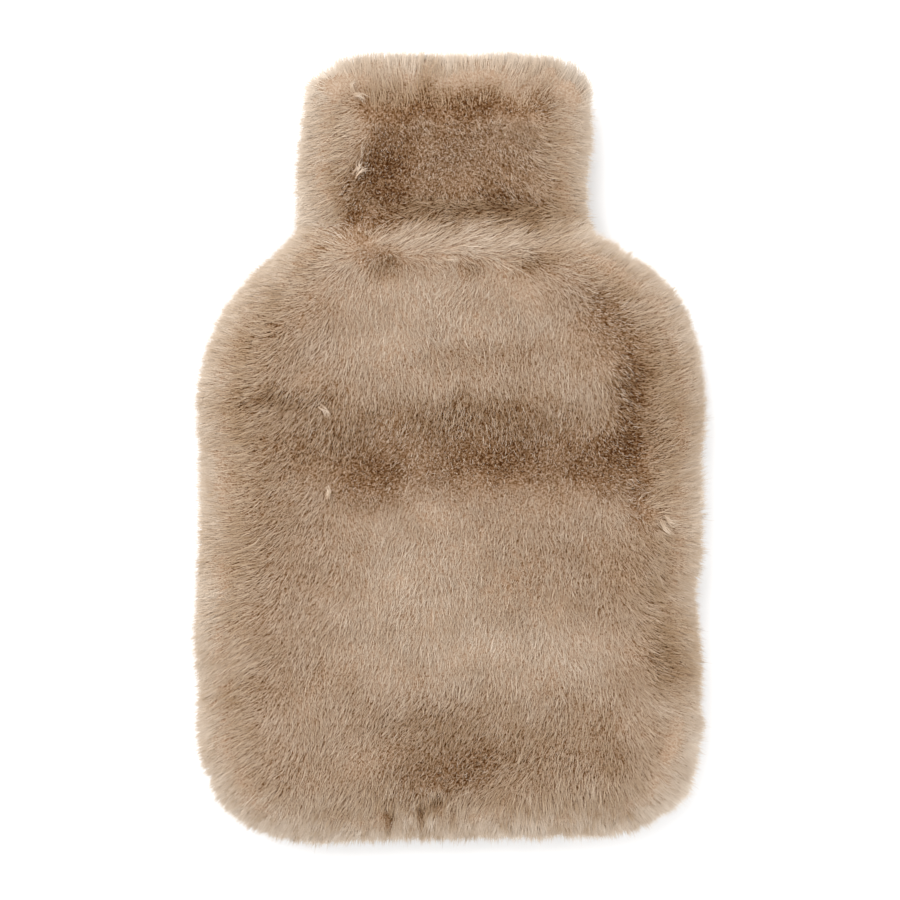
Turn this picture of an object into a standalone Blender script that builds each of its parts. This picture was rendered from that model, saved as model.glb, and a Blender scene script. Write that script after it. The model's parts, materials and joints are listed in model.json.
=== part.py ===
"""A long-pile hot-water-bottle cover, lying on its back with its open neck towards +Y.

Two bottle-shaped panels meet at a seam halfway up and leave a flat hollow between them.
Each panel is one solid from its cloth to the tips of its pile. Narrow strips with locks of
hair stand along the seam and round the mouth. Metres, +Z up, origin under the middle.
"""

import math
import random
from collections import namedtuple

import bmesh
import bpy
from mathutils import Matrix, Vector

MM = 0.001

# Reach of the pile, seen from above.
LENGTH = 370 * MM
PILE_BEYOND_SEAM = 7.5 * MM       # what the rim locks add outside the panels
PILE_BEYOND_MOUTH = 8.5 * MM      # what the mouth locks add beyond the neck's lips

# Heights.
SEAM_HEIGHT = 22 * MM             # from the floor to the seam
FRONT_RISE = 30 * MM              # from the seam to the top of the front's pile
PRESS = 2 * MM                    # how much pile the cover's weight lays flat underneath
EDGE_ROUND = 30 * MM              # width of the rounded edge, in from the seam
EDGE_POWER = 2.3                  # 2 is a true ellipse, more is fuller

# Walls: cloth and pile together.
SIDE_WALL = 13 * MM
TOP_WALL = 16 * MM
UNDER_WALL = 11 * MM
HOLLOW_ROUND = 9 * MM             # how quickly the hollow reaches its full height

# Joints between pieces.
SEAM_GAP = 0.3 * MM
RIM_GAP = 0.6 * MM                # measured at a corner of the path, less along its straights

NECK_FOOT = 102 * MM
BOTTOM = -LENGTH / 2 + PILE_BEYOND_SEAM
MOUTH = LENGTH / 2 - PILE_BEYOND_MOUTH

# The outline over the pile, a row for each place where the sides change direction.
Row = namedtuple("Row", "along left right")
OUTLINE = [
    Row(175 * MM, -67 * MM, 66 * MM),       # neck, at the mouth
    Row(149 * MM, -70 * MM, 65.5 * MM),
    Row(121 * MM, -71.5 * MM, 65 * MM),
    Row(106 * MM, -71.5 * MM, 65.5 * MM),   # neck foot
    Row(97 * MM, -73.5 * MM, 68 * MM),
    Row(87 * MM, -82.5 * MM, 83 * MM),
    Row(79 * MM, -91 * MM, 95 * MM),        # shoulders, the right one squarer
    Row(70 * MM, -100 * MM, 105.5 * MM),
    Row(50 * MM, -112 * MM, 115 * MM),
    Row(23 * MM, -119 * MM, 119.5 * MM),
    Row(-5 * MM, -117.5 * MM, 118 * MM),    # waist of the broad trough
    Row(-52 * MM, -118 * MM, 118 * MM),
    Row(-68 * MM, -118.5 * MM, 114.5 * MM),  # notch in the right side
    Row(-90 * MM, -120 * MM, 116.5 * MM),
    Row(-125 * MM, -118.5 * MM, 117.5 * MM),
    Row(-185 * MM, -117 * MM, 115 * MM),
]

# Both ends are rounded in plan: their corners draw back along the cover.
End = namedtuple("End", "corner power reach")
BOTTOM_END = End(38 * MM, 8, 110 * MM)
MOUTH_END = End(17 * MM, 7, 50 * MM)

# Hollows and ridges of the front's pile, as soft round hills: where, how wide, how high.
Hill = namedtuple("Hill", "name across along wide long rise")
RELIEF = [
    Hill("mouth roll", 0 * MM, 168 * MM, 200 * MM, 9 * MM, 2.5 * MM),
    Hill("band under the mouth roll", 0 * MM, 156 * MM, 55 * MM, 7 * MM, -2.5 * MM),
    Hill("neck hollow, left", -30 * MM, 126 * MM, 20 * MM, 14 * MM, -4.5 * MM),
    Hill("neck hollow, right", 36 * MM, 117 * MM, 16 * MM, 12 * MM, -3 * MM),
    Hill("crease at the neck foot", 0 * MM, NECK_FOOT, 200 * MM, 6 * MM, -6 * MM),
    Hill("shoulder ridge", 0 * MM, 92 * MM, 75 * MM, 8 * MM, 2.5 * MM),
    Hill("upper field", 5 * MM, 48 * MM, 62 * MM, 24 * MM, 2 * MM),
    Hill("broad trough", 5 * MM, -3 * MM, 95 * MM, 17 * MM, -5.5 * MM),
    Hill("right crease", 87 * MM, 14 * MM, 9 * MM, 40 * MM, -5 * MM),
    Hill("lower field", 10 * MM, -74 * MM, 75 * MM, 32 * MM, 2.5 * MM),
    Hill("bottom hollow", 14 * MM, -142 * MM, 30 * MM, 16 * MM, -5.5 * MM),
    Hill("bottom left swell", -60 * MM, -150 * MM, 35 * MM, 20 * MM, 1.5 * MM),
]

# How finely the panels are divided.
FRONT_POINTS = 27
BACK_POINTS = 15
HOLLOW_POINTS = 9
STEP_ALONG = 9 * MM
BOTTOM_STEPS = [0, 0.6 * MM, 2.4 * MM, 6 * MM, 11 * MM, 17 * MM, 23 * MM, 30 * MM]
LIP_STEPS = [9 * MM, 4.5 * MM, 1.8 * MM, 0]
LIP_ROUND = 9 * MM
LIP_DRAW = 3.5 * MM               # how much both faces of the wall draw in at the very lip

# Locks of hair, on strips that are thicker along their middle.
STRIP_EDGE = 0.8 * MM
STRIP_MIDDLE = 2.6 * MM
Strip = namedtuple("Strip", "pitch half rows length")
RIM_STRIP = Strip(8 * MM, 7 * MM, 2, 6 * MM)
FRONT_MOUTH_STRIP = Strip(6.4 * MM, 4 * MM, 2, 6 * MM)
BACK_MOUTH_STRIP = Strip(6.4 * MM, 3 * MM, 2, 6 * MM)
MOUTH_STRIP_END = 0.9             # how far round the lip its strip goes, 1 at the side seam
RIM_TURN_IN = 6 * MM              # how far the rim strip follows each mouth corner inwards
COMBED_LEAN = 0.55                # how far the rim's locks lean with the nap, in lock widths
LOOSE_LEAN = 0.3                  # and how far each strays from that
LOCK_SEED = 11

PILE_COLOURS = {
    "front_panel": (0.402, 0.279, 0.184, 1.0),
    "back_panel": (0.350, 0.240, 0.157, 1.0),
    "rim_locks": (0.480, 0.345, 0.240, 1.0),
    "mouth_locks": (0.520, 0.380, 0.268, 1.0),
}
PILE_ROUGHNESS = 0.9


def read_outline(column, along):
    """A side's distance from the middle at one place, on a smooth curve through the rows."""
    rows = sorted(OUTLINE)
    places = [row.along for row in rows]
    values = [getattr(row, column) for row in rows]
    along = min(max(along, places[0]), places[-1])
    last = len(rows) - 1
    left = min(max(i for i, place in enumerate(places) if place <= along), last - 1)

    def slope(i):
        low, high = max(i - 1, 0), min(i + 1, last)
        return (values[high] - values[low]) / (places[high] - places[low])

    span = places[left + 1] - places[left]
    t = (along - places[left]) / span
    return (values[left] * (1 + 2 * t) * (1 - t) ** 2 + values[left + 1] * t * t * (3 - 2 * t)
            + span * t * (1 - t) * ((1 - t) * slope(left) - t * slope(left + 1)))


def soft_step(t):
    t = min(max(t, 0.0), 1.0)
    return t * t * (3 - 2 * t)


def rounding(inset, width):
    """Height of a rounded edge, 0 at its rim and 1 where it is full."""
    t = min(max(inset / width, 0.0), 1.0)
    return (1 - (1 - t) ** EDGE_POWER) ** (1 / EDGE_POWER)


def lip_draw(along):
    """How far the wall's faces have drawn in, close to the mouth."""
    t = min(max(1 - (MOUTH - along) / LIP_ROUND, 0.0), 1.0)
    return LIP_DRAW * (1 - math.sqrt(1 - t * t))


def edges(along, inset):
    """Left and right side at one place, drawn in from the pile's reach."""
    return read_outline("left", along) + inset, read_outline("right", along) - inset


def drawn_back(across, along):
    """Where a point really lies along the cover, once both ends' corners are rounded."""
    left, right = edges(along, PILE_BEYOND_SEAM)
    share = abs(2 * (across - left) / (right - left) - 1)
    at_bottom = soft_step(1 - (along - BOTTOM) / BOTTOM_END.reach)
    at_mouth = soft_step(1 - (MOUTH - along) / MOUTH_END.reach)
    return (along + BOTTOM_END.corner * at_bottom * share ** BOTTOM_END.power
            - MOUTH_END.corner * at_mouth * share ** MOUTH_END.power)


def relief(across, along):
    return sum(hill.rise * math.exp(-((across - hill.across) / hill.wide) ** 2
                                    - ((along - hill.along) / hill.long) ** 2)
               for hill in RELIEF)


def edge_share(across, along, left, right, width, end):
    """The rounded edge's height share, from the nearer side and from the bottom end."""
    return rounding(min(across - left, right - across), width) * rounding(along - end, width)


def front_height(across, along, left, right):
    top = FRONT_RISE + relief(across, drawn_back(across, along)) - lip_draw(along)
    return SEAM_HEIGHT + top * edge_share(across, along, left, right, EDGE_ROUND, BOTTOM)


def back_height(across, along, left, right):
    deep = SEAM_HEIGHT + PRESS
    drop = deep * edge_share(across, along, left, right, EDGE_ROUND, BOTTOM)
    return max(SEAM_HEIGHT - drop, lip_draw(along))


def hollow_height(across, along, left, right, full):
    end = BOTTOM + SIDE_WALL
    share = edge_share(across, along, left, right, HOLLOW_ROUND, end)
    return (full + lip_draw(along)) * share


def spread(left, right, count):
    """Places from one side to the other, closer together near the sides."""
    middle, half = (left + right) / 2, (right - left) / 2
    return [middle - half * math.cos(math.pi * i / (count - 1)) for i in range(count)]


def section(along, outer_points, outer_height, full, side):
    """One closed loop across a panel: over its pile, then back under its cloth."""
    seam = SEAM_HEIGHT + side * SEAM_GAP / 2
    draw = lip_draw(along)
    left, right = edges(along, PILE_BEYOND_SEAM + draw)
    loop = []
    for across in spread(left, right, outer_points):
        height = outer_height(across, along, left, right)
        height = max(height, seam) if side > 0 else min(height, seam)
        loop.append((across, drawn_back(across, along), height))
    left, right = edges(along, PILE_BEYOND_SEAM + SIDE_WALL - draw)
    for across in reversed(spread(left, right, HOLLOW_POINTS)):
        height = seam + side * hollow_height(across, along, left, right, full)
        loop.append((across, drawn_back(across, along), height))
    return loop


def stations():
    """Places of the sections, from the bottom to the mouth, closer together at both ends."""
    places = [BOTTOM + step for step in BOTTOM_STEPS]
    first, last = places[-1], MOUTH - LIP_STEPS[0]
    steps = round((last - first) / STEP_ALONG)
    places += [first + (last - first) * i / steps for i in range(1, steps)]
    return places + [MOUTH - step for step in LIP_STEPS]


def pile_material(kind):
    material = bpy.data.materials.new(kind)
    material.use_nodes = True
    shader = material.node_tree.nodes["Principled BSDF"]
    shader.inputs["Base Color"].default_value = PILE_COLOURS[kind]
    shader.inputs["Roughness"].default_value = PILE_ROUGHNESS
    shader.inputs["Metallic"].default_value = 0.0
    return material


def face_outwards(bm):
    """Turn a consistently wound closed skin so that it faces out."""
    if bm.calc_volume(signed=True) < 0:
        bmesh.ops.reverse_faces(bm, faces=bm.faces)


def add_object(name, mesh_builder, material):
    mesh = bpy.data.meshes.new(name)
    mesh_builder.to_mesh(mesh)
    mesh_builder.free()
    mesh.materials.append(material)
    mesh.shade_smooth()
    mesh.set_sharp_from_angle(angle=math.radians(40))
    bpy.context.collection.objects.link(bpy.data.objects.new(name, mesh))


def loft(loops):
    """A closed skin through loops that have the same number of points."""
    bm = bmesh.new()
    rings = [[bm.verts.new(point) for point in loop] for loop in loops]
    for ring, following in zip(rings, rings[1:]):
        for i in range(len(ring)):
            j = (i + 1) % len(ring)
            bm.faces.new((ring[i], ring[j], following[j], following[i]))
    bm.faces.new(reversed(rings[0]))
    bm.faces.new(rings[-1])
    face_outwards(bm)
    return bm


def make_panel(name, outer_points, outer_height, full, side):
    loops = [section(along, outer_points, outer_height, full, side) for along in stations()]
    add_object(name, loft(loops), pile_material(name))


def seam_path():
    """The seam's outline from the mouth's left corner, round the bottom, to its right corner."""
    sides = [(along, edges(along, PILE_BEYOND_SEAM + lip_draw(along))) for along in stations()]
    bottom_left, bottom_right = edges(BOTTOM, PILE_BEYOND_SEAM)
    mouth_left, mouth_right = sides[-1][1]
    turn = [RIM_TURN_IN * step / 6 for step in range(1, 7)]
    path = [(mouth_left + inwards, MOUTH) for inwards in reversed(turn)]
    path += [(left, along) for along, (left, right) in reversed(sides)]
    path += [(across, BOTTOM) for across in spread(bottom_left, bottom_right, FRONT_POINTS)[1:-1]]
    path += [(right, along) for along, (left, right) in sides]
    path += [(mouth_right - inwards, MOUTH) for inwards in turn]
    return [(across, drawn_back(across, along)) for across, along in path]


def evenly(path, pitch):
    """Points at an even pitch along a path, each with the path's direction there."""
    lengths = [0.0]
    for start, end in zip(path, path[1:]):
        lengths.append(lengths[-1] + math.dist(start, end))
    count = round(lengths[-1] / pitch)
    points, leg = [], 0
    for i in range(count + 1):
        target = lengths[-1] * i / count
        while leg < len(path) - 2 and lengths[leg + 1] < target:
            leg += 1
        t = (target - lengths[leg]) / (lengths[leg + 1] - lengths[leg])
        points.append(tuple(a + (b - a) * t for a, b in zip(path[leg], path[leg + 1])))
    return points


Frame = namedtuple("Frame", "point out across")


def unit(*parts):
    size = math.hypot(*parts)
    return tuple(part / size for part in parts)


def along_vector(point, direction, distance):
    return tuple(p + d * distance for p, d in zip(point, direction))


def rim_frames():
    """Where the rim strip stands: each place on the seam, and the way out from it."""
    points = evenly(seam_path(), RIM_STRIP.pitch)
    frames = []
    for i, (x, y) in enumerate(points):
        before, after = points[max(i - 1, 0)], points[min(i + 1, len(points) - 1)]
        out = unit(after[1] - before[1], before[0] - after[0], 0.0)
        start = along_vector((x, y, SEAM_HEIGHT), out, RIM_GAP)
        frames.append(Frame(start, out, (0.0, 0.0, 1.0)))
    return frames


def mouth_frames(side, pitch):
    """Where a lip's strip stands: places round the middle of its wall, and out from the wall."""
    left, right = edges(MOUTH, PILE_BEYOND_SEAM + SIDE_WALL / 2)
    middle, half = (left + right) / 2, (right - left) / 2
    if side > 0:
        full = FRONT_RISE - TOP_WALL / 2
    else:
        full = SEAM_HEIGHT - UNDER_WALL / 2
    arc = []
    for i in range(61):
        share = MOUTH_STRIP_END * (2 * i / 60 - 1)
        across = middle + half * share
        height = full * rounding(half * (1 - abs(share)), EDGE_ROUND - SIDE_WALL / 2)
        arc.append((across, drawn_back(across, MOUTH), SEAM_HEIGHT + side * height))
    points = evenly(arc, pitch)
    frames = []
    for i, point in enumerate(points):
        before, after = points[max(i - 1, 0)], points[min(i + 1, len(points) - 1)]
        run_across, run_up = unit(after[0] - before[0], after[2] - before[2])
        lean = (drawn_back(point[0] + MM, MOUTH) - drawn_back(point[0] - MM, MOUTH)) / (2 * MM)
        out = unit(-lean, 1.0, 0.0)
        away = unit(-run_up * side, -run_up * side * lean, run_across * side)
        frames.append(Frame(along_vector(point, out, RIM_GAP), out, away))
    return frames


def rim_nap(place):
    """The pile is brushed down the body and up the neck."""
    return Vector((0.0, COMBED_LEAN if place.y > NECK_FOOT else -COMBED_LEAN, 0.0))


def mouth_nap(place):
    return Vector((0.0, 0.0, 0.0))


def make_lock_strip(name, kind, frames, strip, nap, seed):
    """A narrow strip along the frames; each outer face of it is drawn out into a lock."""
    rng = random.Random(seed)
    bm = bmesh.new()
    columns = []
    for frame in frames:
        ring = []
        for row in range(strip.rows + 1):
            level = 2 * row / strip.rows - 1
            thick = STRIP_MIDDLE + (STRIP_EDGE - STRIP_MIDDLE) * abs(level)
            outer = along_vector(frame.point, frame.out, thick)
            ring.append(along_vector(outer, frame.across, strip.half * level))
        for level in (1, -1):
            ring.append(along_vector(frame.point, frame.across, strip.half * level))
        columns.append([bm.verts.new(point) for point in ring])
    lock_faces = []
    for column, following in zip(columns, columns[1:]):
        for i in range(len(column)):
            j = (i + 1) % len(column)
            face = bm.faces.new((column[i], column[j], following[j], following[i]))
            if i < strip.rows:
                lock_faces.append(face)
    bm.faces.new(reversed(columns[0]))
    bm.faces.new(columns[-1])
    face_outwards(bm)
    bm.normal_update()
    for face in lock_faces:
        reach = strip.length * rng.uniform(0.7, 1.0)
        size = math.sqrt(face.calc_area())
        edge = (face.verts[1].co - face.verts[0].co).normalized()
        side = face.normal.cross(edge)
        lean = nap(face.calc_center_median())
        lean -= face.normal * lean.dot(face.normal)
        stray = [rng.uniform(-LOOSE_LEAN, LOOSE_LEAN) for _ in range(2)]
        sway = size * (lean + edge * stray[0] + side * stray[1])
        bmesh.ops.inset_individual(bm, faces=[face], thickness=size * 0.1, depth=reach * 0.4)
        bmesh.ops.translate(bm, verts=face.verts, vec=sway * 0.3)
        tip = bmesh.ops.poke(bm, faces=[face], offset=reach * 0.6)
        bmesh.ops.translate(bm, verts=tip["verts"], vec=sway)
    add_object(name, bm, pile_material(kind))


def centre_on_origin():
    """Shift every piece alike, so that the whole lies centred over the origin, on the floor."""
    meshes = [item.data for item in bpy.data.objects]
    points = [vertex.co for mesh in meshes for vertex in mesh.vertices]
    shift = [-(max(point[axis] for point in points) + min(point[axis] for point in points)) / 2
             for axis in (0, 1)]
    for mesh in meshes:
        mesh.transform(Matrix.Translation((shift[0], shift[1], 0.0)))


def build():
    for item in list(bpy.data.objects):
        bpy.data.objects.remove(item, do_unlink=True)
    make_panel("front_panel", FRONT_POINTS, front_height, FRONT_RISE - TOP_WALL, 1)
    make_panel("back_panel", BACK_POINTS, back_height, SEAM_HEIGHT - UNDER_WALL, -1)
    make_lock_strip("rim_locks", "rim_locks", rim_frames(), RIM_STRIP, rim_nap, LOCK_SEED)
    for name, strip, side in (("front_mouth_locks", FRONT_MOUTH_STRIP, 1),
                              ("back_mouth_locks", BACK_MOUTH_STRIP, -1)):
        frames = mouth_frames(side, strip.pitch)
        make_lock_strip(name, "mouth_locks", frames, strip, mouth_nap, LOCK_SEED + side)
    centre_on_origin()


build()
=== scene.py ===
# %% [markdown]
# # A long-pile hot water bottle cover
#
# The real thing is a bottle-shaped pouch of faux fur, sewn from two panels, that lies flat on
# its back. Each panel is a knitted cloth with a dense pile of hair: a felted underfur, and
# above it the fine tips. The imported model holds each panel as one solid, from the cloth to
# the tips. Here each solid gives way to what it stands for: a thin cloth, the underfur on it
# and the hair. Hair can't be a bump in a material, because it makes the outline. So each
# hair is a small closed spike, and this script combs them as the cover in the photo lies.

# %% The fixed frame
import json
import math
from collections import namedtuple

import bmesh
import bpy
import numpy as np
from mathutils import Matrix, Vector
from mathutils.kdtree import KDTree

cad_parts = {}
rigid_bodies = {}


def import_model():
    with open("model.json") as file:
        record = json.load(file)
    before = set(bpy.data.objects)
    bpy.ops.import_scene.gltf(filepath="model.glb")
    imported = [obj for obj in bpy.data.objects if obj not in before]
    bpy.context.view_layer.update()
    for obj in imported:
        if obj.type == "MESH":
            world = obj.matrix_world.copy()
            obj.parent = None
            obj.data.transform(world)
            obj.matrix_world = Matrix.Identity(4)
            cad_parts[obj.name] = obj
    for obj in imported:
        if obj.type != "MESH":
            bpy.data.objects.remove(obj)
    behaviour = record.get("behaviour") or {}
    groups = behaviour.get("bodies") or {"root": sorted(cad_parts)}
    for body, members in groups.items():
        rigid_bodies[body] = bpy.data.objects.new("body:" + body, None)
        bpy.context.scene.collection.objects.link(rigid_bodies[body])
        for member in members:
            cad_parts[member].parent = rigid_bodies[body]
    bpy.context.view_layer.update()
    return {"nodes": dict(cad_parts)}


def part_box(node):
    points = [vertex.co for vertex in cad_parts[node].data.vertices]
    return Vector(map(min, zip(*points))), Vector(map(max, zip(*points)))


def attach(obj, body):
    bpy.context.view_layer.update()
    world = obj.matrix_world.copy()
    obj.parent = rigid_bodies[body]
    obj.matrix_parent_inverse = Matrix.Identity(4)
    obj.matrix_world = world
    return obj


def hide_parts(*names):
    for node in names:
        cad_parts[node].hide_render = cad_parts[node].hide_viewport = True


for item in list(bpy.data.objects):
    bpy.data.objects.remove(item, do_unlink=True)
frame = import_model()
MM = 0.001                 # the scene is in metres, and sizes are written in millimetres
SEAM_HEIGHT = (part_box("front_panel")[0].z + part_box("back_panel")[1].z) / 2

# %% [markdown]
# ## The two surfaces of a panel
#
# A panel's solid has an outer side, which the tips of the hair reach, and a hollow side,
# which is the cloth round the space for the bottle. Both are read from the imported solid, so
# nothing has to be fitted. A face is on the outer side if it looks away from the core, a
# smaller flat bottle shape at the height of the seam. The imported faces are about 10 mm wide,
# so they are divided and smoothed first, and the edges where the sides meet are held.

# %% A finer panel
CORE_WIDTH = 0.8           # the core's size, as a share of the cover's
CORE_LENGTH = 0.9
SEAM_FLAT = 0.4 * MM       # what is this near the seam's height belongs to the seam
MERGE = 0.01 * MM          # packed corners nearer to each other than this are one
OUTER_ROUNDS = 2           # how many times each side is smoothed
HOLLOW_ROUNDS = 3
OUTER, HOLLOW, SEAM = 1, 0, -1


def looks_out(face):
    centre = face.calc_center_median()
    core = Vector((centre.x * CORE_WIDTH, centre.y * CORE_LENGTH, SEAM_HEIGHT))
    return face.normal.dot(centre - core) > 0


def at_seam(place):
    return abs(place.z - SEAM_HEIGHT) < SEAM_FLAT


def smooth(bm, verts, rounds):
    for _ in range(rounds):
        bmesh.ops.smooth_vert(bm, verts=verts, factor=0.5,
                              use_axis_x=True, use_axis_y=True, use_axis_z=True)


def fine_panel(node):
    """A panel's solid with small smooth faces, sorted into its outer and its hollow side."""
    bm = bmesh.new()
    bm.from_mesh(frame["nodes"][node].data)
    bmesh.ops.remove_doubles(bm, verts=bm.verts, dist=MERGE)
    bm.normal_update()
    side = bm.faces.layers.int.new("outer")
    for face in bm.faces:
        face[side] = OUTER if looks_out(face) else HOLLOW
    bmesh.ops.subdivide_edges(bm, edges=bm.edges, cuts=1, use_grid_fill=True)
    seam_faces = {face for face in bm.faces if all(at_seam(vert.co) for vert in face.verts)}
    outer = [vert for vert in bm.verts if all(face[side] == OUTER for face in vert.link_faces)]
    hollow = [vert for vert in bm.verts
              if not any(face[side] == OUTER or face in seam_faces for face in vert.link_faces)]
    smooth(bm, outer, OUTER_ROUNDS)
    smooth(bm, hollow, HOLLOW_ROUNDS)
    for face in seam_faces:
        face[side] = SEAM
    bm.normal_update()
    print(node, "has", len(bm.faces), "fine faces")
    return bm, side


def keep_side(panel, value):
    """A copy of a fine panel with the faces of one side alone."""
    bm, _ = panel
    part = bm.copy()
    side = part.faces.layers.int["outer"]
    bmesh.ops.delete(part, geom=[face for face in part.faces if face[side] != value], context="FACES")
    part.normal_update()
    return part


def put_in_scene(name, data):
    """A new object that shows a mesh, or is a lamp or a camera."""
    item = bpy.data.objects.new(name, data)
    bpy.context.collection.objects.link(item)
    return item


def piece_from(bm, name):
    mesh = bpy.data.meshes.new(name)
    bm.to_mesh(mesh)
    bm.free()
    mesh.shade_smooth()
    return put_in_scene(name, mesh)


front = fine_panel("front_panel")
back = fine_panel("back_panel")

# %% [markdown]
# ## The cloths
#
# The cloth only shows inside the mouth. It is the hollow side by itself, with its own
# thickness given by Solidify's operator, away from the hollow. That operator adds its faces
# in any order, so they are sorted along a skew line, and the mesh is the same each time.

# %% Front and back cloth
CLOTH_THICK = 1.5 * MM
SORTED_ALONG = Vector((1.0, 0.37, 0.11))


def make_cloth(panel, name):
    bm = keep_side(panel, HOLLOW)
    area = sum(face.calc_area() for face in bm.faces)
    bmesh.ops.solidify(bm, geom=bm.faces[:], thickness=CLOTH_THICK)
    bm.faces.sort(key=lambda face: face.calc_center_median().dot(SORTED_ALONG))
    if bm.calc_volume(signed=True) < 0:
        bmesh.ops.reverse_faces(bm, faces=bm.faces)
    cloth = piece_from(bm, name)
    print(name, "covers", round(area * 1e4), "square centimetres")
    return cloth, area


front_cloth, front_area = make_cloth(front, "front_cloth")
back_cloth, back_area = make_cloth(back, "back_cloth")
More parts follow.
